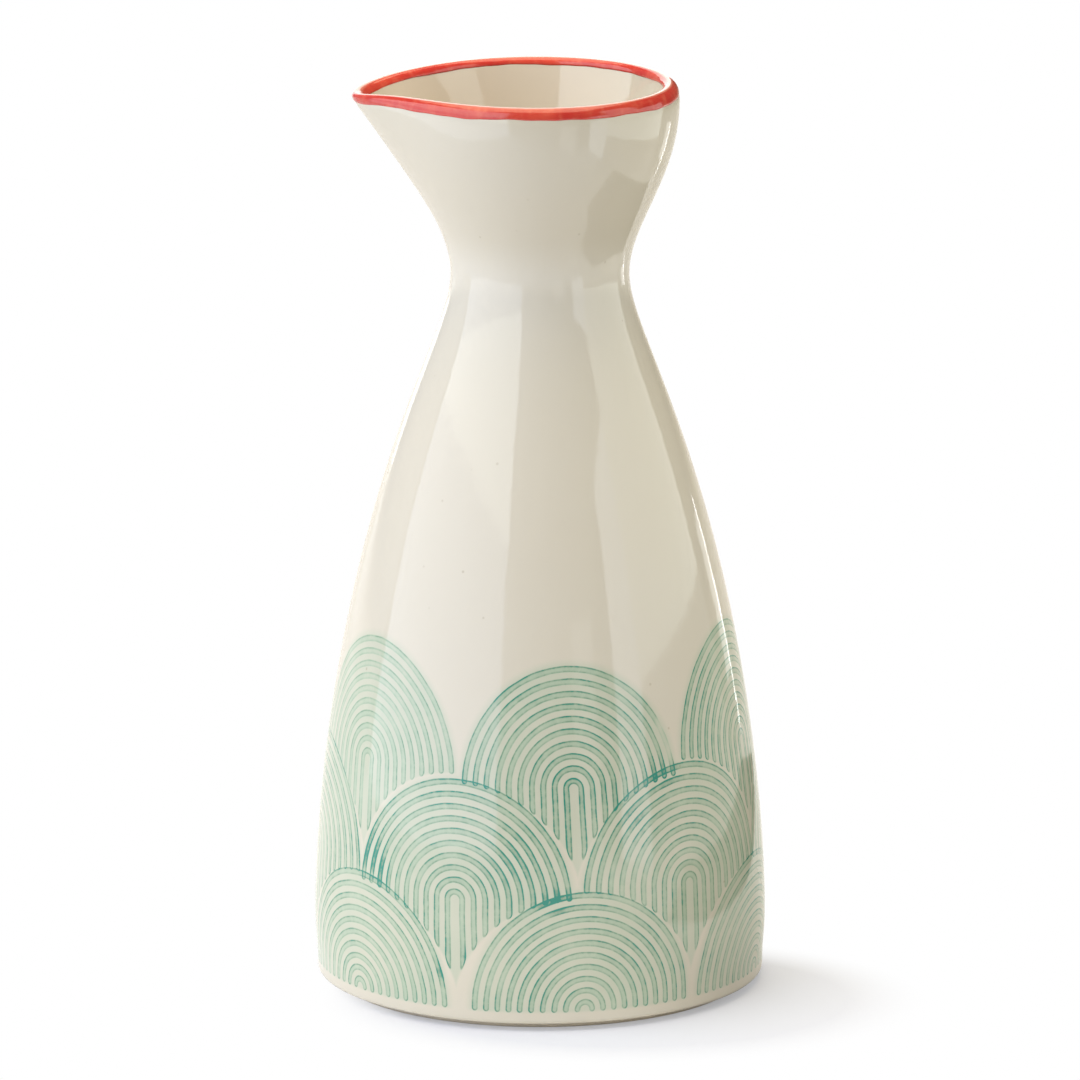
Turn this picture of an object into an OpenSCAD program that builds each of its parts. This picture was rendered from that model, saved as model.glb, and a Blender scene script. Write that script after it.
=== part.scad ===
// Sake bottle (tokkuri): a cast stoneware body, a flared mouth luted on at the
// neck and pinched into a pouring lip, a red enamel band over the lip, and a
// bare clay foot ring. Millimetres, +Z up, the foot stands on z = 0, the axis
// of the bottle is Z and the pouring lip points along -X.

/* [Body] */
// Height of the neck's narrowest point, where the mouth is luted on
neck_z = 122.3; // [105:0.1:150]
// Largest radius, just above the heel
belly_r = 38.4; // [34:0.1:46]
// Height of the largest radius
belly_z = 12; // [6:0.5:20]
// Outer radius of the neck
neck_r = 15.1; // [12:0.1:20]
// How far up the wall stays upright above the belly
belly_pull = 20; // [10:1:30]
// Radius that the long shoulder is drawn towards
shoulder_r = 33.3; // [27:0.1:34]
// Height that the long shoulder is drawn towards
shoulder_z = 90; // [70:1:95]
// How far below the neck the wall turns upright again
neck_pull = 13; // [6:0.5:20]
// How much narrower the heel is than the belly
heel_tuck = 0.4; // [0.2:0.1:2]
// Radius of the rounded heel
heel_round = 0.8; // [0.5:0.1:1.4]
// Thickness of the clay wall
wall = 3; // [2:0.1:4]
// Thickness of the clay floor
floor_t = 4.3; // [3:0.1:6]
// Radius inside, between wall and floor
floor_round = 8; // [4:0.5:14]

/* [Mouth] */
// Height of the mouth above the neck
mouth_h = 32.45; // [28:0.05:44]
// Largest outer radius of the mouth
mouth_r = 23.4; // [19:0.1:28]
// How far above the neck the wall stays upright before it flares
flare_start = 8.7; // [5:0.1:14]
// How far below the lip the flare turns upright
flare_end = 13; // [6:0.5:16]
// How far above the neck the inside stays upright before it flares
inside_start = 4.7; // [3:0.1:10]
// How far the inside still leans outwards at the lip, in degrees
inside_lean = 13.5; // [8:0.5:20]
// How far below the lip that lean is drawn
inside_end = 14; // [8:0.5:16]
// Height of the rounded lip, outside
lip_h = 3; // [2.4:0.1:4]
// Height of the rounded lip, inside
lip_in_h = 2; // [1.4:0.1:3]
// How far the lip's crest lies inside the outer wall
lip_crest = 1.8; // [1:0.1:1.9]

/* [Pouring lip] */
// How far the pinched lip stands out beyond the round mouth
spout_reach = 9.1; // [4:0.1:12]
// Angle from the lip's middle at which it has fallen to half its reach
spout_spread = 22; // [16:1:30]
// Height over which the lip grows out of the round wall
spout_h = 26; // [18:0.5:28]
// How fast the lip grows, 1 being a straight slope
spout_curve = 2; // [1:0.1:2.5]
// How far the tip of the lip hangs below the rim
tip_droop = 1.5; // [0:0.1:2.5]

/* [Rim band] */
// Thickness of the red enamel
band_t = 0.25; // [0.15:0.05:0.5]
// How far the band comes down outside
band_out = 1.7; // [1.2:0.1:2.9]
// How far the band comes down inside
band_in = 1; // [0.5:0.1:1.1]

/* [Foot ring] */
// Height of the bare clay ring
foot_h = 1.2; // [0.8:0.1:2.5]
// Outer radius of the ring
foot_r = 35.4; // [28:0.1:36]
// Width of the ring
foot_w = 5; // [3:0.1:8]
// Rounding of the ring's lower edges
foot_round = 0.5; // [0.2:0.1:0.8]
// How far the middle of the underside is hollowed
base_dish = 1; // [0.4:0.1:2]

/* [Hidden] */

glaze_cream = [0.88, 0.86, 0.80];
enamel_red = [0.84, 0.23, 0.18];
bare_clay = [0.80, 0.74, 0.64];

wall_steps = 32;     // points along the body's wall
flare_steps = 12;    // points along the mouth's wall
arc_steps = 5;       // points along a small rounding
turns = 96;          // sides of the mouth, which is not round
$fn = 128;

rim_z = neck_z + mouth_h;
lip_z = rim_z - lip_h;                 // where the outer rounding of the lip starts
floor_z = foot_h + floor_t;
crest_r = mouth_r - lip_crest;
lip_in = wall - lip_crest;             // from the crest to the inner wall

// ---- curves -------------------------------------------------------------

// A point of the curve drawn by a list of [r, z] points, its ends and pulls.
function bezier(p, t) =
    len(p) == 1 ? p[0] : bezier([for (i = [1 : len(p) - 1]) (1 - t) * p[i - 1] + t * p[i]], t);

function curve(p, steps) = [for (i = [0 : steps]) bezier(p, i / steps)];

function reversed(list) = [for (i = [len(list) - 1 : -1 : 0]) list[i]];

// Part of an ellipse about [r, z] with half axes a and b.
function ellipse(r, z, a, b, from, to, steps = arc_steps) =
    [for (i = [0 : steps]) let (t = from + (to - from) * i / steps)
        [r + a * cos(t), z + b * sin(t)]];

// ---- the body's outline -------------------------------------------------

heel_r = belly_r - heel_tuck;

heel_outline = ellipse(heel_r - heel_round, foot_h + heel_round,
                       heel_round, heel_round, -90, 0);

belly_outline = curve([[heel_r, foot_h + heel_round],
                       [heel_r, (foot_h + heel_round + belly_z) / 2],
                       [belly_r, (foot_h + heel_round + belly_z) / 2],
                       [belly_r, belly_z]], arc_steps);

wall_outline = curve([[belly_r, belly_z],
                      [belly_r, belly_z + belly_pull],
                      [shoulder_r, shoulder_z],
                      [neck_r, neck_z - neck_pull],
                      [neck_r, neck_z]], wall_steps);

inside_corner = ellipse(belly_r - wall - floor_round, floor_z + floor_round,
                        floor_round, floor_round, 0, -90);

inside_outline = [for (p = reversed(wall_outline))
                  if (p[1] > floor_z + floor_round) [p[0] - wall, p[1]]];

// The underside: flat where the foot ring sits, dished in the middle.
dish_r = foot_r - foot_w;
underside = [for (i = [0 : arc_steps]) let (a = 90 * i / arc_steps)
             [dish_r * sin(a), foot_h + base_dish * cos(a)]];

module body() {
    color(glaze_cream)
    rotate_extrude()
    polygon(concat(underside, heel_outline, belly_outline, wall_outline,
                   inside_outline, inside_corner, [[0, floor_z]]));
}

module foot_ring() {
    color(bare_clay)
    rotate_extrude()
    polygon(concat(
        ellipse(foot_r - foot_w + foot_round, foot_round, foot_round, foot_round, 180, 270),
        ellipse(foot_r - foot_round, foot_round, foot_round, foot_round, 270, 360),
        [[foot_r, foot_h], [foot_r - foot_w, foot_h]]));
}

// ---- the mouth's section, before the lip is pinched ------------------------

flare = curve([[neck_r, neck_z],
               [neck_r, neck_z + flare_start],
               [mouth_r, lip_z - flare_end],
               [mouth_r, lip_z]], flare_steps);

// Angles round the lip: the band's two edges, and where the lip's rounding
// leans as the inside does.
band_out_angle = asin((lip_h - band_out) / lip_h);
band_in_angle = 180 - asin((lip_in_h - band_in) / lip_in_h);
inside_angle = 180 - atan(tan(inside_lean) * lip_in_h / lip_in);

lip_outside = ellipse(crest_r, lip_z, lip_crest, lip_h, band_out_angle, 90);
lip_inside = ellipse(crest_r, rim_z - lip_in_h, lip_in, lip_in_h, 90, band_in_angle);

inside_top = [crest_r + lip_in * cos(inside_angle),
              rim_z - lip_in_h + lip_in_h * sin(inside_angle)];

flare_inside = curve([inside_top,
                      inside_top - inside_end * [tan(inside_lean), 1],
                      [neck_r - wall, neck_z + inside_start],
                      [neck_r - wall, neck_z]], flare_steps);

// Halfway between the flare's end and the band's outer edge.
lip_below = [crest_r + lip_crest * cos(band_out_angle / 2),
             lip_z + lip_h * sin(band_out_angle / 2)];

// Over the lip from one edge of the band to the other.
lip_over = concat(lip_outside, [for (i = [1 : arc_steps]) lip_inside[i]]);

mouth_section = concat(flare, [lip_below], lip_over, flare_inside);

// ---- the pinched pouring lip -------------------------------------------------

// How much of the lip's reach a point has: 1 in the middle, falling to the sides.
function pinch(a) = 1 / (1 + pow(a / spout_spread, 2));

// How far the lip has grown at a height: 0 below it, 1 at the rim.
function growth(z) = pow(max(0, (z - rim_z) / spout_h + 1), spout_curve);

// A point of a section turned to angle a from the lip, and pinched.
function pinched(p, a) =
    let (side = abs(a) > 180 ? 360 - abs(a) : abs(a),
         r = p[0] + spout_reach * pinch(side) * growth(p[1]),
         z = p[1] - tip_droop * pow(pinch(side) * growth(p[1]), 2))
    [-r * cos(a), -r * sin(a), z];

// Sweeps a closed [r, z] section round the axis, following the pinched lip.
module pinched_ring(section) {
    n = len(section);
    points = [for (i = [0 : turns - 1], p = section) pinched(p, 360 * i / turns)];
    faces = [for (i = [0 : turns - 1], j = [0 : n - 1])
             let (k = (i + 1) % turns, l = (j + 1) % n,
                  a = i * n + j, b = i * n + l, c = k * n + l, d = k * n + j)
             each [[a, c, b], [a, d, c]]];
    polyhedron(points, faces);
}

module mouth() {
    color(glaze_cream) pinched_ring(mouth_section);
}

// The direction square to the lip's outline at point i, pointing outwards.
function outward(i) =
    let (last = len(lip_over) - 1,
         d = lip_over[min(i + 1, last)] - lip_over[max(i - 1, 0)])
    [d[1], -d[0]] / norm(d);

module rim_band() {
    skin = [for (i = [0 : len(lip_over) - 1]) lip_over[i] + band_t * outward(i)];
    color(enamel_red) pinched_ring(concat(skin, reversed(lip_over)));
}

body();
mouth();
rim_band();
foot_ring();
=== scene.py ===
"""Looks of the sake bottle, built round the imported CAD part.

Lengths are in metres. The outlines and the stamped waves are in millimetres, as in the part's
source. The pouring lip points along -X, and the camera looks along +Y."""

import math

import bmesh
import bpy
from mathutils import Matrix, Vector


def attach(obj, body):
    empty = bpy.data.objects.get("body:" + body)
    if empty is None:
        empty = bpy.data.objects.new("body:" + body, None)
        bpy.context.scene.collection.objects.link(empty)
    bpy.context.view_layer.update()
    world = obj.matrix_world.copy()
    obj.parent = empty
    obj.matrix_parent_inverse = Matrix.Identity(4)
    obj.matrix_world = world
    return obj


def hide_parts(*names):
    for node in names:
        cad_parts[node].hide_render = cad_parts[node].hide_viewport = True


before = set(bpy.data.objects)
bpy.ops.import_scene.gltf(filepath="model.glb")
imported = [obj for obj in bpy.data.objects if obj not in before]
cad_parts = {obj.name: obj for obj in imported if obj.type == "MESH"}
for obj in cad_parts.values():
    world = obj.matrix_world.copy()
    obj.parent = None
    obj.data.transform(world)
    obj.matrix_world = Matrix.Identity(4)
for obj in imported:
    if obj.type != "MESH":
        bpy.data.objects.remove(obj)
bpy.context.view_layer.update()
MM = 0.001

# ---------------------------------------------------------------- camera

TARGET = Vector((0, 0, 0.07584))
CAMERA_DISTANCE = 2.0
CAMERA_ELEVATION = math.radians(13.53)
SENSOR = 36.0
FOCAL_PIXELS = 11794.0
PHOTO_PIXELS = 1080.0


def facing(obj, point):
    """Turns a camera or a lamp to face a point."""
    obj.rotation_euler = (point - obj.location).to_track_quat("-Z", "Y").to_euler()


scene = bpy.context.scene
scene.view_settings.view_transform = "Standard"
camera_data = bpy.data.cameras.new("camera")
camera_data.sensor_width = SENSOR
camera_data.lens = FOCAL_PIXELS / PHOTO_PIXELS * SENSOR
camera_data.clip_start = 0.1
camera_data.clip_end = 30
camera = bpy.data.objects.new("camera", camera_data)
scene.collection.objects.link(camera)
camera.location = TARGET + CAMERA_DISTANCE * Vector(
    (0, -math.cos(CAMERA_ELEVATION), math.sin(CAMERA_ELEVATION)))
facing(camera, TARGET)
scene.camera = camera

# ---------------------------------------------------------------- sizes, in mm

# body
BELLY_R, BELLY_Z, BELLY_PULL = 38.4, 12.0, 20.0
SHOULDER = (33.3, 90.0)
NECK_R, NECK_Z, NECK_PULL = 15.1, 122.3, 13.0
HEEL_TUCK, HEEL_ROUND = 0.4, 0.8
WALL, FLOOR_T, FLOOR_ROUND = 3.0, 4.3, 8.0

# mouth and pouring lip
MOUTH_H, MOUTH_R = 32.45, 23.4
FLARE_START, FLARE_END = 8.7, 13.0
INSIDE_START, INSIDE_END = 4.7, 14.0
INSIDE_LEAN = math.radians(13.5)
LIP_H, LIP_IN_H, LIP_CREST = 3.0, 2.0, 1.8
SPOUT_REACH, SPOUT_SPREAD, SPOUT_H, SPOUT_CURVE, TIP_DROOP = 9.1, 22.0, 26.0, 2.0, 1.5

# rim band: its thickness, how far it comes down outside and inside, and how much that wanders
BAND_T, BAND_OUT, BAND_IN = 0.25, 1.7, 1.0
WANDER_OUT, WANDER_IN = 0.22, 0.15
BAND_EDGE_T = 0.12                      # thickness left at the band's edges, as a share

# foot ring
FOOT_H, FOOT_R, FOOT_W, FOOT_ROUND, DISH = 1.2, 35.4, 5.0, 0.5, 1.0

RIM_Z = NECK_Z + MOUTH_H
LIP_Z = RIM_Z - LIP_H
CREST_R = MOUTH_R - LIP_CREST
LIP_IN = WALL - LIP_CREST
HEEL_R = BELLY_R - HEEL_TUCK
HEEL_TOP = FOOT_H + HEEL_ROUND
FLOOR_Z = FOOT_H + FLOOR_T

# points along the outlines, and sides round the axis
WALL_STEPS, FLARE_STEPS, BELLY_STEPS, DISH_STEPS, CORNER_STEPS = 120, 56, 14, 20, 16
LIP_OUT_STEPS, LIP_IN_STEPS, SKIN_STEPS = 14, 12, 14
HEEL_STEPS, FOOT_STEPS = 8, 6
TURNS = 320

# ---------------------------------------------------------------- curves


def bezier(points, t):
    """The point at t of the curve drawn by its ends and pulls."""
    while len(points) > 1:
        points = [tuple((1 - t) * a + t * b for a, b in zip(p, q))
                  for p, q in zip(points, points[1:])]
    return points[0]


def curve(points, steps):
    return [bezier(points, i / steps) for i in range(steps + 1)]


def ellipse(r, z, a, b, start, end, steps):
    """Part of an ellipse about (r, z) with half axes a and b, in degrees."""
    turn = [math.radians(start + (end - start) * i / steps) for i in range(steps + 1)]
    return [(r + a * math.cos(t), z + b * math.sin(t)) for t in turn]


def pinched(r, z, from_lip):
    """A point of the mouth's section, pinched as it is at an angle from the lip's middle."""
    side = min(abs(from_lip), 360 - abs(from_lip))
    pinch = 1 / (1 + (side / SPOUT_SPREAD) ** 2)
    growth = max(0.0, (z - RIM_Z) / SPOUT_H + 1) ** SPOUT_CURVE
    return r + SPOUT_REACH * pinch * growth, z - TIP_DROOP * (pinch * growth) ** 2


def angle_from_lip(angle):
    """Angles go round from the back, and the lip is a quarter turn further."""
    return (angle - 90) % 360


# ---------------------------------------------------------------- meshes

UV_MAP = "OFBake"
OUTER_WALL_V = 0.27                     # where the body's outer wall starts in its UV map
WALL_MARGIN_V = 0.005


def island_marks(outline, islands):
    """(first, last, v of each outline point between them) for each island of the UV map."""
    count = len(outline)
    marks = []
    for first, last, low, high in islands:
        along = [0.0]
        for j in range(first, last):
            along.append(along[-1] + math.dist(outline[j % count], outline[(j + 1) % count]))
        marks.append((first, last, [low + (high - low) * s / along[-1] for s in along]))
    return marks


def on_axis(point):
    return point[0] < 1e-6


def faces_over(outline, first, last):
    """Each face over a stretch of the outline, all round the axis, as its corners: (step round
    the axis, point of the outline). On the axis a face has three corners."""
    count = len(outline)
    for i in range(TURNS):
        for j in range(first, last):
            face = [(i, j), (i + 1, j), (i + 1, j + 1), (i, j + 1)]
            if on_axis(outline[j % count]):
                face.pop(0)
            elif on_axis(outline[(j + 1) % count]):
                face.pop(3)
            yield face


def sweep(name, section, islands, smooth_angle=40):
    """A mesh round the axis. section(angle) gives the (r, z) outline, in mm, at an angle from
    the back of the bottle. islands say which stretch of the outline goes where in the UV map:
    its first and last point, and its lowest and highest v. A stretch past the last point
    closes the outline."""
    vertices, faces, corners = [], [], []
    rows = [section(360 * i / TURNS) for i in range(TURNS)]
    outline = rows[0]
    count = len(outline)
    for i, row in enumerate(rows):
        turn = math.radians(360 * i / TURNS)
        vertices += [(-r * math.sin(turn) * MM, r * math.cos(turn) * MM, z * MM) for r, z in row]
    for first, last, v in island_marks(outline, islands):
        for face in faces_over(outline, first, last):
            faces.append([step % TURNS * count + point % count for step, point in face])
            corners += [(step / TURNS, v[point - first]) for step, point in face]
    mesh = bpy.data.meshes.new(name)
    mesh.from_pydata(vertices, [], faces)
    layer = mesh.uv_layers.new(name=UV_MAP)
    layer.data.foreach_set("uv", [c for uv in corners for c in uv])
    mesh.validate()
    weld(mesh, smooth_angle)
    obj = bpy.data.objects.new(name, mesh)
    scene.collection.objects.link(obj)
    return obj


def weld(mesh, smooth_angle):
    """Joins the points that lie on one another and shades smooth up to an angle."""
    bm = bmesh.new()
    bm.from_mesh(mesh)
    bmesh.ops.remove_doubles(bm, verts=bm.verts, dist=1e-7)
    bmesh.ops.recalc_face_normals(bm, faces=bm.faces)
    bm.to_mesh(mesh)
    bm.free()
    mesh.shade_smooth()
    mesh.set_sharp_from_angle(angle=math.radians(smooth_angle))


def body_piece():
    """Dished underside, heel, wall up to the neck, and the inside down to the floor."""
    dish_r = FOOT_R - FOOT_W
    dish_turn = [math.radians(90 * i / DISH_STEPS) for i in range(DISH_STEPS + 1)]
    underside = [(dish_r * math.sin(t), FOOT_H + DISH * math.cos(t)) for t in dish_turn]
    heel = ellipse(HEEL_R - HEEL_ROUND, HEEL_TOP, HEEL_ROUND, HEEL_ROUND, -90, 0, HEEL_STEPS)
    middle = (HEEL_TOP + BELLY_Z) / 2
    belly = curve([(HEEL_R, HEEL_TOP), (HEEL_R, middle), (BELLY_R, middle), (BELLY_R, BELLY_Z)],
                  BELLY_STEPS)
    wall = curve([(BELLY_R, BELLY_Z), (BELLY_R, BELLY_Z + BELLY_PULL), SHOULDER,
                  (NECK_R, NECK_Z - NECK_PULL), (NECK_R, NECK_Z)], WALL_STEPS)
    inside = [(r - WALL, z) for r, z in reversed(wall) if z > FLOOR_Z + FLOOR_ROUND]
    corner = ellipse(BELLY_R - WALL - FLOOR_ROUND, FLOOR_Z + FLOOR_ROUND,
                     FLOOR_ROUND, FLOOR_ROUND, 0, -90, CORNER_STEPS)
    outside = underside + heel + belly[1:] + wall[1:]
    outline = outside + inside + corner + [(0, FLOOR_Z)]
    ring_seat = len(underside) - 1
    neck = len(outside) - 1
    return sweep("bottle_body", lambda angle: outline,
                 [(0, ring_seat, 0.0, 0.06), (ring_seat, neck, OUTER_WALL_V, 1.0),
                  (neck, neck + 1, 0.065, 0.07), (neck + 1, len(outline) - 1, 0.08, 0.26)])


def mouth_piece():
    """Flare, rounded lip, the inside, and the flat ring that is luted to the body."""
    flare = curve([(NECK_R, NECK_Z), (NECK_R, NECK_Z + FLARE_START),
                   (MOUTH_R, LIP_Z - FLARE_END), (MOUTH_R, LIP_Z)], FLARE_STEPS)
    lip_outside = ellipse(CREST_R, LIP_Z, LIP_CREST, LIP_H, 0, 90, LIP_OUT_STEPS)
    # the lip's rounding ends where it leans as the inside does
    lean_turn = math.degrees(math.atan(math.tan(INSIDE_LEAN) * LIP_IN_H / LIP_IN))
    lip_inside = ellipse(CREST_R, RIM_Z - LIP_IN_H, LIP_IN, LIP_IN_H, 90, 180 - lean_turn,
                         LIP_IN_STEPS)
    top_r, top_z = lip_inside[-1]
    inside = curve([(top_r, top_z), (top_r - INSIDE_END * math.tan(INSIDE_LEAN), top_z - INSIDE_END),
                    (NECK_R - WALL, NECK_Z + INSIDE_START), (NECK_R - WALL, NECK_Z)], FLARE_STEPS)
    outline = flare + lip_outside[1:] + lip_inside[1:] + inside[1:]
    crest = len(flare) + len(lip_outside) - 2
    last = len(outline) - 1
    return sweep("bottle_mouth",
                 lambda angle: [pinched(r, z, angle_from_lip(angle)) for r, z in outline],
                 [(0, crest, 0.5, 1.0), (crest, last, 0.02, 0.48), (last, last + 1, 0.0, 0.01)])


# a hand's unsteadiness round the rim: waves in a turn, size as a share, shift for each seed
UNSTEADY = [(3, 0.5, 1.0), (7, 0.35, 2.1), (13, 0.25, 3.7), (29, 0.15, 1.0)]


def uneven(angle, seed, size):
    """How far, in mm, a brushed edge wanders at an angle."""
    turn = math.radians(angle)
    return size * sum(share * math.sin(waves * turn + shift * seed)
                      for waves, share, shift in UNSTEADY)


def edge_angle(down, lip_height):
    """Where the band's edge lies round the lip's rounding, in degrees up from its side."""
    return math.degrees(math.asin(max(0.02, 1 - down / lip_height)))


def band_section(angle):
    """The lip from one edge of the band to the other, and the skin of enamel over it."""
    start = edge_angle(BAND_OUT + uneven(angle, 1.3, WANDER_OUT), LIP_H)
    end = 180 - edge_angle(BAND_IN + uneven(angle, 4.1, WANDER_IN), LIP_IN_H)
    under = (ellipse(CREST_R, LIP_Z, LIP_CREST, LIP_H, start, 90, SKIN_STEPS)
             + ellipse(CREST_R, RIM_Z - LIP_IN_H, LIP_IN, LIP_IN_H, 90, end, SKIN_STEPS)[1:])
    over = []
    last = len(under) - 1
    for i, (r, z) in enumerate(under):
        before, after = under[max(i - 1, 0)], under[min(i + 1, last)]
        dr, dz = after[0] - before[0], after[1] - before[1]
        long = math.hypot(dr, dz)
        swelling = min(1.0, 5 * i / last, 5 * (last - i) / last) ** 0.5
        thick = BAND_T * (BAND_EDGE_T + (1 - BAND_EDGE_T) * swelling)
        over.append((r + thick * dz / long, z - thick * dr / long))
    return [pinched(r, z, angle_from_lip(angle)) for r, z in over + under[::-1]]


def band_piece():
    """Red enamel over the lip, thinning out to its uneven edges."""
    skin = 2 * SKIN_STEPS + 1
    return sweep("rim_band_enamel", band_section,
                 [(0, skin - 1, 0.4, 1.0), (skin - 1, 2 * skin, 0.0, 0.38)], smooth_angle=75)


def ring_piece():
    """Bare clay ring that the bottle stands on."""
    inner, outer = FOOT_R - FOOT_W, FOOT_R
    outline = (ellipse(inner + FOOT_ROUND, FOOT_ROUND, FOOT_ROUND, FOOT_ROUND, 180, 270, FOOT_STEPS)
               + ellipse(outer - FOOT_ROUND, FOOT_ROUND, FOOT_ROUND, FOOT_ROUND, 270, 360, FOOT_STEPS)
               + [(outer, FOOT_H), (inner, FOOT_H)])
    return sweep("foot_ring_clay", lambda angle: outline, [(0, len(outline), 0.0, 1.0)])


# ---------------------------------------------------------------- shader arithmetic


class Wire:
    """A number in a node tree. Arithmetic on it adds Math nodes."""

    def __init__(self, tree, socket):
        self.tree = tree
        self.socket = socket

    def __add__(self, other):
        return calc(self.tree, "ADD", self, other)

    __radd__ = __add__

    def __sub__(self, other):
        return calc(self.tree, "SUBTRACT", self, other)

    def __rsub__(self, other):
        return calc(self.tree, "SUBTRACT", other, self)

    def __mul__(self, other):
        return calc(self.tree, "MULTIPLY", self, other)

    __rmul__ = __mul__

    def __truediv__(self, other):
        return calc(self.tree, "DIVIDE", self, other)


def calc(tree, operation, *values):
    """A number: the result of a Math node."""
    node = tree.nodes.new("ShaderNodeMath")
    node.operation = operation
    for socket, value in zip(node.inputs, values):
        if isinstance(value, Wire):
            tree.links.new(value.socket, socket)
        else:
            socket.default_value = value
    return Wire(tree, node.outputs[0])


def largest(first, second):
    return calc(first.tree, "MAXIMUM", first, second)


def length(first, second):
    """The long side of a right-angled triangle."""
    return calc(first.tree, "SQRT", first * first + second * second)


def smooth(wire, low, high):
    """0 below low, 1 above high, eased between. The other way round when low > high."""
    node = wire.tree.nodes.new("ShaderNodeMapRange")
    node.interpolation_type = "SMOOTHSTEP"
    start, end = (0.0, 1.0) if low < high else (1.0, 0.0)
    wire.tree.links.new(wire.socket, node.inputs["Value"])
    node.inputs["From Min"].default_value = min(low, high)
    node.inputs["From Max"].default_value = max(low, high)
    node.inputs["To Min"].default_value = start
    node.inputs["To Max"].default_value = end
    return Wire(wire.tree, node.outputs["Result"])


def bell(wire, centre, width):
    """1 at centre, falling off over width."""
    off = (wire - centre) / width
    return calc(wire.tree, "EXPONENT", off * off * -1.0)


def noise(tree, vector, scale, detail=2.0, roughness=0.5, seed=0.0):
    node = tree.nodes.new("ShaderNodeTexNoise")
    node.noise_dimensions = "4D"
    node.inputs["W"].default_value = seed
    node.inputs["Scale"].default_value = scale
    node.inputs["Detail"].default_value = detail
    node.inputs["Roughness"].default_value = roughness
    tree.links.new(vector, node.inputs["Vector"])
    return Wire(tree, node.outputs["Fac"])


def axes(tree, vector):
    """The x, y and z of a vector, as numbers."""
    node = tree.nodes.new("ShaderNodeSeparateXYZ")
    tree.links.new(vector, node.inputs[0])
    return [Wire(tree, node.outputs[axis]) for axis in "XYZ"]


def ray_is(tree, kind):
    """1 for rays of a kind, Camera or Glossy, and 0 for the others."""
    node = tree.nodes.new("ShaderNodeLightPath")
    return Wire(tree, node.outputs[f"Is {kind} Ray"])


def blend(tree, factor, first, second, mode="MIX"):
    """A colour: first to second by factor. Each is a colour or a socket."""
    node = tree.nodes.new("ShaderNodeMix")
    node.data_type = "RGBA"
    node.blend_type = mode
    # the Mix node's inputs for colours
    for index, value in ((0, factor), (6, first), (7, second)):
        socket = node.inputs[index]
        if isinstance(value, Wire):
            tree.links.new(value.socket, socket)
        elif isinstance(value, bpy.types.NodeSocket):
            tree.links.new(value, socket)
        elif isinstance(value, tuple):
            socket.default_value = (*value, 1.0)
        else:
            socket.default_value = value
    return node.outputs[2]


def ramp(wire, stops):
    """A colour from a number, through stops of (position, colour)."""
    node = wire.tree.nodes.new("ShaderNodeValToRGB")
    elements = node.color_ramp.elements
    while len(elements) < len(stops):
        elements.new(0.5)
    for element, (position, colour) in zip(elements, stops):
        element.position = position
        element.color = (*colour, 1.0)
    wire.tree.links.new(wire.socket, node.inputs["Fac"])
    return node.outputs["Color"]


def new_material(name):
    """(material, node tree, Principled shader, place on the object)"""
    material = bpy.data.materials.new(name)
    material.use_nodes = True
    tree = material.node_tree
    shader = tree.nodes["Principled BSDF"]
    place = tree.nodes.new("ShaderNodeTexCoord").outputs["Object"]
    return material, tree, shader, place


def surface(tree, shader, colour, roughness, height, strength, distance):
    """Sets a shader's colour and roughness, and the relief of its surface from a height."""
    tree.links.new(colour, shader.inputs["Base Color"])
    shader.inputs["Roughness"].default_value = roughness
    bump = tree.nodes.new("ShaderNodeBump")
    bump.inputs["Strength"].default_value = strength
    bump.inputs["Distance"].default_value = distance
    tree.links.new(height.socket, bump.inputs["Height"])
    tree.links.new(bump.outputs["Normal"], shader.inputs["Normal"])


# ---------------------------------------------------------------- the stamped wave, in mm

RINGS = 10
RING_START = 1.35                       # radius of the innermost ring
RING_PITCH = 2.06
LINE_HALF, LINE_HALF_VARIES = 0.53, 0.22
WOBBLE = 0.5
# the legs end on two arcs, one to each side, and not below their tip
FOOT_ARC_X, FOOT_ARC_Y, FOOT_ARC_R = 20.5, 21.1, 21.4
FOOT_TIP = 18.0
PRINT_EDGE_Z = 3.3                      # where the bottom row is cut off straight
UPPER_MM_PER_DEGREE = math.radians(38.6)
LOWER_MM_PER_DEGREE = math.radians(40.5)

# ink of a line: thin in its middle, gathered along its edges, more on the outer one
LINE_INK, EDGE_INK = 0.24, 0.9
EDGE_AT, EDGE_WIDE = -0.11, 0.14
INNER_EDGE = 0.45
POOL_GAIN = 5.0
WORN_LOSS = 0.95
FULL_INK = 1.6                          # ink at which the tint is deepest

# degrees round the body from the camera's side, height of the centre, lean, ink
BOTTOM_ROW = [(-53, 3.7, 0.0, 0.8), (11.4, 3.7, 0.0, 0.95), (73, 3.8, 0.0, 1.0),
              (131.5, 4.0, 0.01, 0.9), (190, 3.6, -0.01, 0.75), (248.5, 3.9, 0.0, 0.85)]
MIDDLE_ROW = [(-83.5, 23.4, 0.0, 0.85), (-22, 22.3, 0.02, 0.95), (41.5, 23.5, 0.0, 0.95),
              (102, 23.0, -0.01, 0.95), (160.2, 22.6, 0.015, 0.8), (218.3, 23.5, 0.0, 0.9)]
TOP_ROW = [(-53.8, 43.1, 0.07, 0.55), (9, 41.6, 0.035, 1.0), (72, 43.9, 0.02, 1.1),
           (130.2, 42.6, 0.0, 0.8), (188.5, 43.6, -0.03, 0.95), (246.8, 42.2, 0.02, 0.7)]
ROWS = [(TOP_ROW, UPPER_MM_PER_DEGREE, 0.0), (MIDDLE_ROW, UPPER_MM_PER_DEGREE, 0.0),
        (BOTTOM_ROW, LOWER_MM_PER_DEGREE, 1.0)]

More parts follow.
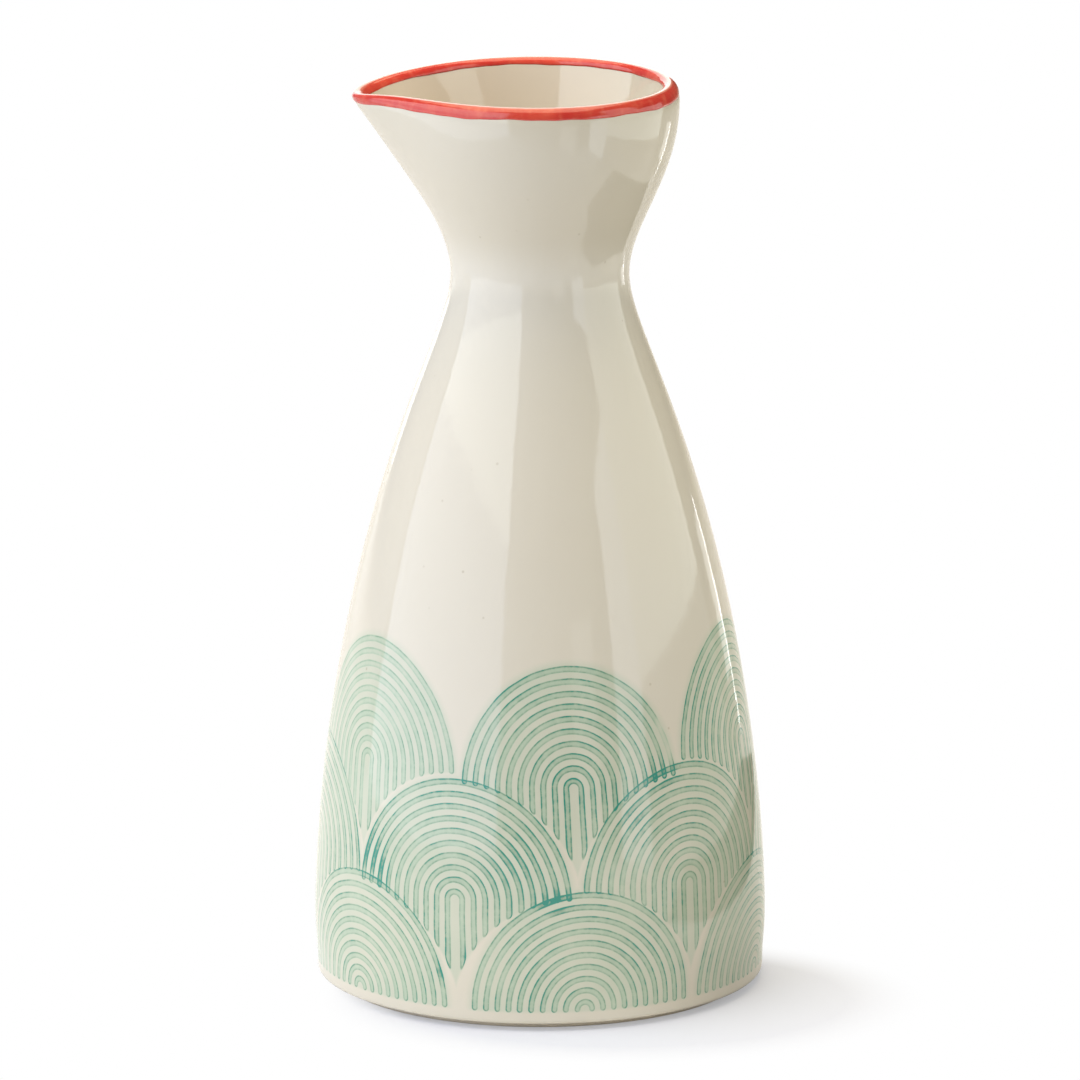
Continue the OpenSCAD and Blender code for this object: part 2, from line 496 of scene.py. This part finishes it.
# where ink pooled under the stamp: degrees, height, half width in degrees, half height, strength
POOLS = [(-50.5, 27.8, 4.5, 3.2, 1.0), (-45, 25.0, 2.5, 2.2, 0.7), (3.5, 22.5, 3.5, 1.6, 0.75),
         (-6, 29, 7, 4.5, 0.25), (-24.8, 9.6, 1.8, 1.3, 0.9), (-18.6, 12.4, 1.0, 1.0, 0.7),
         (8, 33, 8, 8, 0.25), (25, 36, 3.5, 3, 0.3), (34.5, 42.5, 4.5, 2.5, 0.45)]
# where the outermost ring of a wave did not print: degrees, height, half width, half height
WORN = [(35.4, 50.6, 2.2, 3.2), (37.4, 46.6, 2.0, 3.4)]

STAMP_INPUTS = ("Angle", "Height", "Centre angle", "Centre height", "Scale", "Lean",
                "Straight foot", "Wobble", "Width")


def stamp_group():
    """One print of the stamp: rings above its centre that run down as legs below it."""
    tree = bpy.data.node_groups.new("wave_stamp", "ShaderNodeTree")
    for name in STAMP_INPUTS:
        tree.interface.new_socket(name, in_out="INPUT", socket_type="NodeSocketFloat")
    for name in ("Ink", "Wash"):
        tree.interface.new_socket(name, in_out="OUTPUT", socket_type="NodeSocketFloat")
    source = tree.nodes.new("NodeGroupInput")
    target = tree.nodes.new("NodeGroupOutput")
    angle, height, centre_a, centre_h, scale, lean, straight, wobble, width = (
        Wire(tree, source.outputs[name]) for name in STAMP_INPUTS)
    y = height - centre_h
    x = calc(tree, "WRAP", angle - centre_a, 180.0, -180.0) * scale + lean * y + wobble
    radius = length(x, largest(y, 0.0))
    steps = (radius - RING_START) / RING_PITCH
    ring = calc(tree, "MINIMUM", largest(calc(tree, "ROUND", steps), 0.0), RINGS - 1.0)
    off = (steps - ring) * RING_PITCH
    # how far above the ends of the legs, which are arcs or one straight edge
    arcs = length(calc(tree, "ABSOLUTE", x) - FOOT_ARC_X, y + FOOT_ARC_Y) - FOOT_ARC_R
    arcs = calc(tree, "MINIMUM", arcs, y + FOOT_TIP)
    foot = arcs + straight * (height - PRINT_EDGE_Z - arcs)
    line = length(off, largest(width - foot, 0.0)) - width
    edge = bell(line, EDGE_AT, EDGE_WIDE) * (INNER_EDGE + (1 - INNER_EDGE) * smooth(off, -0.2, 0.2))
    ink = smooth(line, 0.09, -0.06) * (LINE_INK + EDGE_INK * edge)
    rim = RING_START + RING_PITCH * RINGS
    wash = smooth(radius, rim, rim - RING_PITCH) * smooth(foot, -0.3, 0.4)
    tree.links.new(ink.socket, target.inputs["Ink"])
    tree.links.new(wash.socket, target.inputs["Wash"])
    return tree


def printed_ink(tree, place):
    """(ink, wash) of the three rows of stamps, as numbers over the body."""
    stamp = stamp_group()
    x, y, z = axes(tree, place)
    angle = calc(tree, "ARCTAN2", x, y * -1.0) * math.degrees(1)
    height = z * (1 / MM)
    wobble = (noise(tree, place, scale=90.0, detail=1.0, seed=1.0) - 0.5) * WOBBLE
    width = LINE_HALF + (noise(tree, place, scale=350.0, seed=2.0) - 0.5) * LINE_HALF_VARIES
    ink = wash = None
    for row, scale, straight in ROWS:
        for centre_a, centre_h, lean, strength in row:
            node = tree.nodes.new("ShaderNodeGroup")
            node.node_tree = stamp
            values = (angle, height, centre_a, centre_h, scale, lean, straight, wobble, width)
            for name, value in zip(STAMP_INPUTS, values):
                if isinstance(value, Wire):
                    tree.links.new(value.socket, node.inputs[name])
                else:
                    node.inputs[name].default_value = value
            one_ink = Wire(tree, node.outputs["Ink"]) * strength
            one_wash = Wire(tree, node.outputs["Wash"])
            ink = one_ink if ink is None else ink + one_ink
            wash = one_wash if wash is None else largest(wash, one_wash)
    for spot_a, spot_z, wide, high, strength in POOLS:
        gain = POOL_GAIN * strength
        ink = ink * (1.0 + gain * bell(angle, spot_a, wide) * bell(height, spot_z, high))
    for spot_a, spot_z, wide, high in WORN:
        ink = ink * (1.0 - WORN_LOSS * bell(angle, spot_a, wide) * bell(height, spot_z, high))
    return ink, wash


# ---------------------------------------------------------------- materials

CREAM = (0.665, 0.622, 0.54)
CREAM_WARM = (0.655, 0.603, 0.51)       # where the glaze lies thicker
MOUTH_PAINTED_SHADE = (0.92, 0.905, 0.87)       # painted shade: the mouth's glaze is made this much darker
MOUTH_PAINTED_SHADE_Z = (0.124, 0.132)          # between these heights it comes in
SPECK = (0.42, 0.36, 0.26)
GLAZE_ROUGHNESS, GLAZE_IOR = 0.07, 1.55
# the glaze over no ink up to full ink
TINTS = [(0.0, (1.0, 1.0, 1.0)), (0.2, (0.66, 0.86, 0.78)),
         (0.6, (0.35, 0.58, 0.49)), (1.0, (0.04, 0.42, 0.38))]

RED = (0.53, 0.035, 0.028)
RED_STROKE = (0.63, 0.075, 0.047)
RED_THIN = (0.78, 0.24, 0.15)
CREST_PAINTED_HIGHLIGHT = (0.86, 0.50, 0.42)         # painted highlight along the crest, where the lip faces up
ENAMEL_ROUGHNESS = 0.11

CLAY, CLAY_PALE = (0.62, 0.54, 0.42), (0.72, 0.65, 0.53)
CLAY_GRAIN = (0.45, 0.37, 0.27)
CLAY_ROUGHNESS = 0.85


def glaze_colour(tree, place):
    """Cream glaze: slightly uneven in thickness, with scattered pinholes."""
    cloud = smooth(noise(tree, place, scale=28.0, detail=3.0, seed=5.0), 0.35, 0.7)
    colour = blend(tree, cloud * 0.35, CREAM, CREAM_WARM)
    holes = tree.nodes.new("ShaderNodeTexVoronoi")
    holes.inputs["Scale"].default_value = 260.0
    tree.links.new(place, holes.inputs["Vector"])
    rare = smooth(noise(tree, place, scale=120.0, detail=1.0, seed=9.0), 0.53, 0.62)
    dots = smooth(Wire(tree, holes.outputs["Distance"]), 0.085, 0.04) * rare
    return blend(tree, dots * 0.5, colour, SPECK)


def glaze_surface(tree, shader, place, colour):
    """The glaze's gloss, over the slow waves and faint pits of a dipped coat."""
    waves = (noise(tree, place, scale=45.0, seed=7.0)
             + 0.15 * noise(tree, place, scale=400.0, seed=8.0))
    surface(tree, shader, colour, GLAZE_ROUGHNESS, waves, strength=0.25, distance=0.0006)
    shader.inputs["IOR"].default_value = GLAZE_IOR


def on_outer_wall(tree):
    """1 on the body's outer wall, 0 elsewhere, read from where each lies in the UV map."""
    mapped = tree.nodes.new("ShaderNodeUVMap")
    mapped.uv_map = UV_MAP
    v = axes(tree, mapped.outputs["UV"])[1]
    return calc(tree, "GREATER_THAN", v, OUTER_WALL_V - WALL_MARGIN_V)


def printed_glaze():
    """Cream glaze over green stamped waves, whose ink is mottled, patchy and washes over."""
    material, tree, shader, place = new_material("printed_glaze")
    ink, wash = printed_ink(tree, place)
    grain = noise(tree, place, scale=800.0, detail=3.0, roughness=0.65, seed=3.0)
    mottle = 0.55 + 0.9 * smooth(grain, 0.25, 0.75)
    patches = 0.65 + 0.7 * smooth(noise(tree, place, scale=85.0, seed=4.0), 0.3, 0.7)
    veil = wash * (0.05 + 0.2 * noise(tree, place, scale=90.0, seed=6.0))
    amount = (ink * mottle * patches + veil) * on_outer_wall(tree) / FULL_INK
    colour = blend(tree, 1.0, glaze_colour(tree, place), ramp(amount, TINTS), "MULTIPLY")
    glaze_surface(tree, shader, place, colour)
    return material


def plain_glaze():
    """Cream glaze, with painted shade above the neck."""
    material, tree, shader, place = new_material("plain_glaze")
    # painted shade over the whole mouth, outside and in, above the neck
    above_neck = smooth(axes(tree, place)[2], *MOUTH_PAINTED_SHADE_Z)
    colour = blend(tree, above_neck, glaze_colour(tree, place), MOUTH_PAINTED_SHADE, "MULTIPLY")
    glaze_surface(tree, shader, place, colour)
    return material


def red_enamel():
    """Brushed red enamel: streaky and thin in spots, with a painted highlight where the crest faces
    up.
    """
    material, tree, shader, place = new_material("red_enamel")
    strokes = smooth(noise(tree, place, scale=160.0, detail=3.0, roughness=0.6, seed=11.0), 0.35, 0.7)
    thin = smooth(noise(tree, place, scale=520.0, seed=12.0), 0.45, 0.75)
    colour = blend(tree, strokes, RED, RED_STROKE)
    colour = blend(tree, thin * 0.25, colour, RED_THIN)
    # painted highlight: the enamel turns pale where its surface faces up
    geometry = tree.nodes.new("ShaderNodeNewGeometry")
    upward = axes(tree, geometry.outputs["Normal"])[2]
    colour = blend(tree, smooth(upward, 0.88, 1.0) * 0.6, colour, CREST_PAINTED_HIGHLIGHT)
    strokes_height = noise(tree, place, scale=300.0, seed=13.0)
    surface(tree, shader, colour, ENAMEL_ROUGHNESS, strokes_height, strength=0.2, distance=0.0003)
    shader.inputs["IOR"].default_value = GLAZE_IOR
    return material


def bare_clay():
    """Fired clay without glaze: dull, cloudy and gritty."""
    material, tree, shader, place = new_material("bare_clay")
    grain = noise(tree, place, scale=900.0, detail=4.0, roughness=0.65, seed=21.0)
    cloud = noise(tree, place, scale=60.0, seed=22.0)
    colour = blend(tree, cloud, CLAY, CLAY_PALE)
    colour = blend(tree, smooth(grain, 0.62, 0.75) * 0.5, colour, CLAY_GRAIN)
    surface(tree, shader, colour, CLAY_ROUGHNESS, grain, strength=0.5, distance=0.0002)
    return material


def dress(piece, material, node):
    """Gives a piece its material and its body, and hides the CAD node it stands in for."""
    piece.data.materials.append(material)
    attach(piece, "root")
    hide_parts(node)


dress(body_piece(), printed_glaze(), "body")
dress(mouth_piece(), plain_glaze(), "mouth")
dress(band_piece(), red_enamel(), "rim_band")
dress(ring_piece(), bare_clay(), "foot_ring")

# ---------------------------------------------------------------- floor and world

WHITE = (1, 1, 1)
WORLD = (0.15, 0.12, 0.08)
FLOOR_HALF = 8.0
FLOOR_GREY = (0.6, 0.6, 0.6)
FLOOR_PAINTED_LIGHT = (0.95, 0.94, 0.92)         # painted pool of light by the foot, on the camera's side, in the light the floor bounces
FLOOR_PAINTED_SHADE = (0.2, 0.16, 0.10)           # painted shade to the right, under the shadow, in the light the floor bounces
FLOOR_GLOSS = (0.85, 0.87, 0.95)        # what the glaze reflects
FLOOR_SHOWN = (0.70, 0.72, 0.84)        # what the camera sees
PAINTED_LIGHT_CENTRE, PAINTED_LIGHT_EDGE = (-0.03, -0.06, 0), (0.12, 0.05)
PAINTED_SHADE_CENTRE, PAINTED_SHADE_EDGE = (0.095, 0.0, 0), (0.09, 0.055)
# the shadow is kept inside an ellipse, and lifted
SHADOW_X, SHADOW_Y = 0.014, -0.018
SHADOW_WIDE, SHADOW_DEEP = 0.05, 0.038
SHADOW_EDGE = (0.6, 1.05)
SHADOW_LIFT = 0.3

# a dark card on the floor at the right, hidden from the camera: painted shade standing in for the
# shaded table there, seen in reflections and in the light bounced onto the bottle
CARD_X, CARD_Y, CARD_Z = (0.1, 0.205), (-0.065, 0.165), 0.001
CARD_PAINTED_SHADE = (0.12, 0.10, 0.07)


def distance(tree, place, point):
    """How far the shaded point is from a point, in metres."""
    node = tree.nodes.new("ShaderNodeVectorMath")
    node.operation = "DISTANCE"
    tree.links.new(place, node.inputs[0])
    node.inputs[1].default_value = point
    return Wire(tree, node.outputs["Value"])


def staged(name, xs, ys, z, material):
    """A flat piece of the studio, which is not part of the bottle."""
    corners = [(xs[0], ys[0], z), (xs[1], ys[0], z), (xs[1], ys[1], z), (xs[0], ys[1], z)]
    mesh = bpy.data.meshes.new(name)
    mesh.from_pydata(corners, [], [(0, 1, 2, 3)])
    mesh.materials.append(material)
    obj = bpy.data.objects.new(name, mesh)
    scene.collection.objects.link(obj)
    return obj


def floor_colour(tree, place):
    """White table. For the light it bounces: a painted pool of light by the foot on the camera's
    side, and painted shade at the right. One colour in reflections.
    """
    # painted pool of light by the foot, in bounced light only
    painted_light = smooth(distance(tree, place, PAINTED_LIGHT_CENTRE), *PAINTED_LIGHT_EDGE)
    colour = blend(tree, painted_light, FLOOR_GREY, FLOOR_PAINTED_LIGHT)
    # painted shade at the right, in bounced light only
    dim = smooth(distance(tree, place, PAINTED_SHADE_CENTRE), *PAINTED_SHADE_EDGE)
    colour = blend(tree, dim, colour, FLOOR_PAINTED_SHADE)
    colour = blend(tree, ray_is(tree, "Glossy"), colour, FLOOR_GLOSS)
    return blend(tree, ray_is(tree, "Camera"), colour, FLOOR_SHOWN)


def floor_material():
    """The table, which turns pure white for the camera outside the shadow."""
    material, tree, shader, place = new_material("floor")
    tree.nodes.remove(shader)
    diffuse = tree.nodes.new("ShaderNodeBsdfDiffuse")
    tree.links.new(floor_colour(tree, place), diffuse.inputs["Color"])
    white = tree.nodes.new("ShaderNodeEmission")
    x, y, z = axes(tree, place)
    away = smooth(length((x - SHADOW_X) / SHADOW_WIDE, (y - SHADOW_Y) / SHADOW_DEEP), *SHADOW_EDGE)
    whiteness = ray_is(tree, "Camera") * largest(away, SHADOW_LIFT)
    mixed = tree.nodes.new("ShaderNodeMixShader")
    tree.links.new(whiteness.socket, mixed.inputs["Fac"])
    tree.links.new(diffuse.outputs[0], mixed.inputs[1])
    tree.links.new(white.outputs[0], mixed.inputs[2])
    tree.links.new(mixed.outputs[0], tree.nodes["Material Output"].inputs["Surface"])
    return material


def painted_shade_card_material():
    material, _, shader, _ = new_material("painted_shade_card")
    shader.inputs["Base Color"].default_value = (*CARD_PAINTED_SHADE, 1)
    shader.inputs["Roughness"].default_value = 1.0
    return material


def light_world():
    """A dim warm room, white where the camera looks past the floor."""
    world = bpy.data.worlds.new("studio")
    scene.world = world
    world.use_nodes = True
    tree = world.node_tree
    colour = blend(tree, ray_is(tree, "Camera"), WORLD, WHITE)
    tree.links.new(colour, tree.nodes["Background"].inputs["Color"])


light_world()
FLOOR_SPAN = (-FLOOR_HALF, FLOOR_HALF)
staged("floor", FLOOR_SPAN, FLOOR_SPAN, 0, floor_material())
# the dark card: painted shade on the floor, for reflections and bounced light
painted_shade_card = staged("painted_shade_card", CARD_X, CARD_Y, CARD_Z, painted_shade_card_material())
painted_shade_card.visible_camera = False

# ---------------------------------------------------------------- lamps

LEFT_NEAR, LEFT_FAR = (-0.155, -0.394), (-0.411, 0.075)
RIGHT_X = 0.205
GROUND = 0.001
LEFT_TOP, RIGHT_TOP = 0.2, 0.2
BLUE, PALE_BLUE = (0.68, 0.77, 0.97), (0.82, 0.89, 0.96)
SKY, COOL, PALE_GREEN = (0.7, 0.8, 1.0), (0.84, 0.91, 1.0), (0.92, 0.98, 0.94)

# softboxes round the bottle: the line that each stands over, its lowest and highest point,
# its brightness and colour
BOARDS = [
    ("left_low", LEFT_NEAR, LEFT_FAR, GROUND, LEFT_TOP, 1.85, BLUE),
    ("left_high", LEFT_NEAR, LEFT_FAR, LEFT_TOP, 0.59, 2.75, PALE_BLUE),
    ("left_back", (-0.43, 0.10), (-0.24, 0.42), GROUND, 0.45, 0.3, SKY),
    ("right_foot", (RIGHT_X, -0.14), (RIGHT_X, 0.1), GROUND, 0.075, 0.3, WHITE),
    ("right", (RIGHT_X, -0.14), (RIGHT_X, 0.1), 0.075, RIGHT_TOP, 1.6, PALE_GREEN),
    ("right_high", (RIGHT_X, -0.14), (RIGHT_X, -0.015), RIGHT_TOP, 0.35, 1.6, PALE_GREEN),
    ("right_front", (RIGHT_X, -0.235), (RIGHT_X, -0.14), GROUND, RIGHT_TOP, 1.9, COOL),
    ("front_card", (0.093, -0.285), (0.15, -0.26), GROUND, 0.125, 0.6, WHITE),
    ("wedge", (0.2364, 0.1847), (0.2084, 0.2158), 0.02, 0.075, 1.2, WHITE),
    ("strip", (0.2120, 0.2122), (0.2084, 0.2158), GROUND, 0.075, 6.0, WHITE),
    ("backdrop", (-0.5, 0.9), (0.1, 0.9), GROUND, 0.95, 2.0, WHITE),
]

OVERHEAD_SIZE, OVERHEAD_PLACE = 1.4, (-0.1, 0.2, 1.4)
OVERHEAD_BRIGHT, OVERHEAD_COLOUR = 3.0, (1.0, 0.88, 0.62)

# a narrow lamp that only reaches into the mouth
INSIDE_PLACE, INSIDE_AIM = (0.03, -0.3, 1.35), (-0.006, 0.012, 0.15)
INSIDE_CONE = math.radians(2.3)
INSIDE_SOFT, INSIDE_WATTS = 0.004, 26
INSIDE_COLOUR = (1.0, 0.78, 0.74)


def softbox(name, place, wide, high, brightness, colour):
    """A rectangular lamp that the camera doesn't see."""
    light = bpy.data.lights.new(name, "AREA")
    light.shape = "RECTANGLE"
    light.size = wide
    light.size_y = high
    light.energy = brightness * light.size * light.size_y * math.pi
    light.color = colour
    lamp = bpy.data.objects.new(name, light)
    scene.collection.objects.link(lamp)
    lamp.location = place
    lamp.visible_camera = False
    return lamp


def board(name, first, last, low, high, brightness, colour):
    """A softbox that stands over the line between two points of the floor, from height low to
    height high, and faces the bottle."""
    first, last = Vector((*first, 0)), Vector((*last, 0))
    place = (first + last) / 2 + Vector((0, 0, (low + high) / 2))
    lamp = softbox(name, place, (last - first).length, high - low, brightness, colour)
    across = (last - first).normalized()
    inward = Vector((-across.y, across.x, 0))
    if inward.dot(place) > 0:
        inward = -inward
    lamp.rotation_euler = inward.to_track_quat("-Z", "Y").to_euler()


def inside_lamp():
    light = bpy.data.lights.new("inside", "SPOT")
    light.spot_size = INSIDE_CONE
    light.spot_blend = 0.5
    light.shadow_soft_size = INSIDE_SOFT
    light.energy = INSIDE_WATTS
    light.color = INSIDE_COLOUR
    lamp = bpy.data.objects.new("inside", light)
    scene.collection.objects.link(lamp)
    lamp.location = INSIDE_PLACE
    facing(lamp, Vector(INSIDE_AIM))
    lamp.visible_camera = False
    lamp.visible_glossy = False


for facts in BOARDS:
    board(*facts)
softbox("overhead", OVERHEAD_PLACE, OVERHEAD_SIZE, OVERHEAD_SIZE, OVERHEAD_BRIGHT, OVERHEAD_COLOUR)
inside_lamp()
